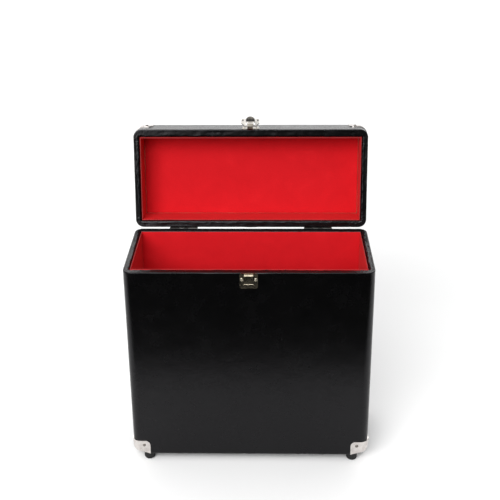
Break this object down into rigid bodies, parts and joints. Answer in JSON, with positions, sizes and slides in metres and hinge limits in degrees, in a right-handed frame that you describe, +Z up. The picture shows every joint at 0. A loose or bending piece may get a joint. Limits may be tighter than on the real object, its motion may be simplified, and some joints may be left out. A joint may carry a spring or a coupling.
{
  "type": "record carrying case",
  "caption": "Upright hard case for 12-inch records with a hinged lid, draw latch, folding carrying handle, velour lining, corner caps and rubber feet.",
  "frame": {"origin": "on the floor, under the middle of the standing, open case's outline", "axes": "+X to the case's right, +Y towards its back, where the open lid leans, +Z up"},
  "size_m": [0.3544, 0.2358, 0.4833],
  "materials": {
    "leatherette": "black pebbled leatherette, semi-matt",
    "board": "raw fibreboard",
    "velour": "red velour",
    "nickel": "bright nickel plate",
    "steel": "zinc-plated steel",
    "rubber": "black moulded rubber",
    "grip": "stitched black leatherette over padding"
  },
  "bodies": {
    "case": {"bottom_board": "board", "front_board": "board", "back_board": "board", "left_board": "board", "right_board": "board", "case_leatherette": "leatherette", "lining_floor": "velour", "lining_front": "velour", "lining_back": "velour", "lining_left": "velour", "lining_right": "velour", "foot_front_left": "rubber", "foot_front_right": "rubber", "foot_back_left": "rubber", "foot_back_right": "rubber", "foot_screws": "steel", "case_corner_front_left": "nickel", "case_corner_front_right": "nickel", "case_corner_back_left": "nickel", "case_corner_back_right": "nickel", "case_corner_nails": "nickel", "strike_plate": "nickel", "strike_screws": "nickel", "hinge_left_case_leaf": "nickel", "hinge_right_case_leaf": "nickel", "hinge_left_pin": "steel", "hinge_right_pin": "steel", "hinge_case_screws": "nickel"},
    "lid": {"lid_top_board": "board", "lid_front_board": "board", "lid_back_board": "board", "lid_left_board": "board", "lid_right_board": "board", "lid_leatherette": "leatherette", "lid_lining_top": "velour", "lid_lining_front": "velour", "lid_lining_back": "velour", "lid_lining_left": "velour", "lid_lining_right": "velour", "lid_corner_front_left": "nickel", "lid_corner_front_right": "nickel", "lid_corner_back_left": "nickel", "lid_corner_back_right": "nickel", "lid_corner_nails": "nickel", "hinge_left_lid_leaf": "nickel", "hinge_right_lid_leaf": "nickel", "hinge_lid_screws": "nickel", "latch_base": "nickel", "latch_rivets": "nickel", "latch_pin": "steel", "handle_bracket_left": "nickel", "handle_bracket_right": "nickel", "handle_rivets": "nickel", "handle_pins": "steel"},
    "latch_lever": {"latch_lever": "nickel", "latch_claw_pin": "steel"},
    "latch_claw": {"latch_claw": "nickel"},
    "handle": {"handle_core": "steel", "handle_grip": "grip"}
  },
  "joints": [
    {"name": "lid_hinge", "type": "hinge", "parent": "case", "child": "lid", "pos_m": [0, 0.03952, 0.3147], "axis": [1, 0, 0], "range_deg": [0, 99.5]},
    {"name": "latch_lever_swing", "type": "hinge", "parent": "lid", "child": "latch_lever", "pos_m": [0, 0.07057, 0.46818], "axis": [1, 0, 0], "range_deg": [-90, 0]},
    {"name": "latch_claw_swing", "type": "hinge", "parent": "latch_lever", "child": "latch_claw", "pos_m": [0, 0.07234, 0.47447], "axis": [1, 0, 0], "range_deg": [0, 73]},
    {"name": "handle_swing", "type": "hinge", "parent": "lid", "child": "handle", "pos_m": [0, 0.11094, 0.38041], "axis": [1, 0, 0], "range_deg": [-9.5, 170.5]}
  ],
  "couplings": [
    {"joint": "latch_claw_swing", "follows": "latch_lever_swing", "ratio": -0.81111}
  ]
}
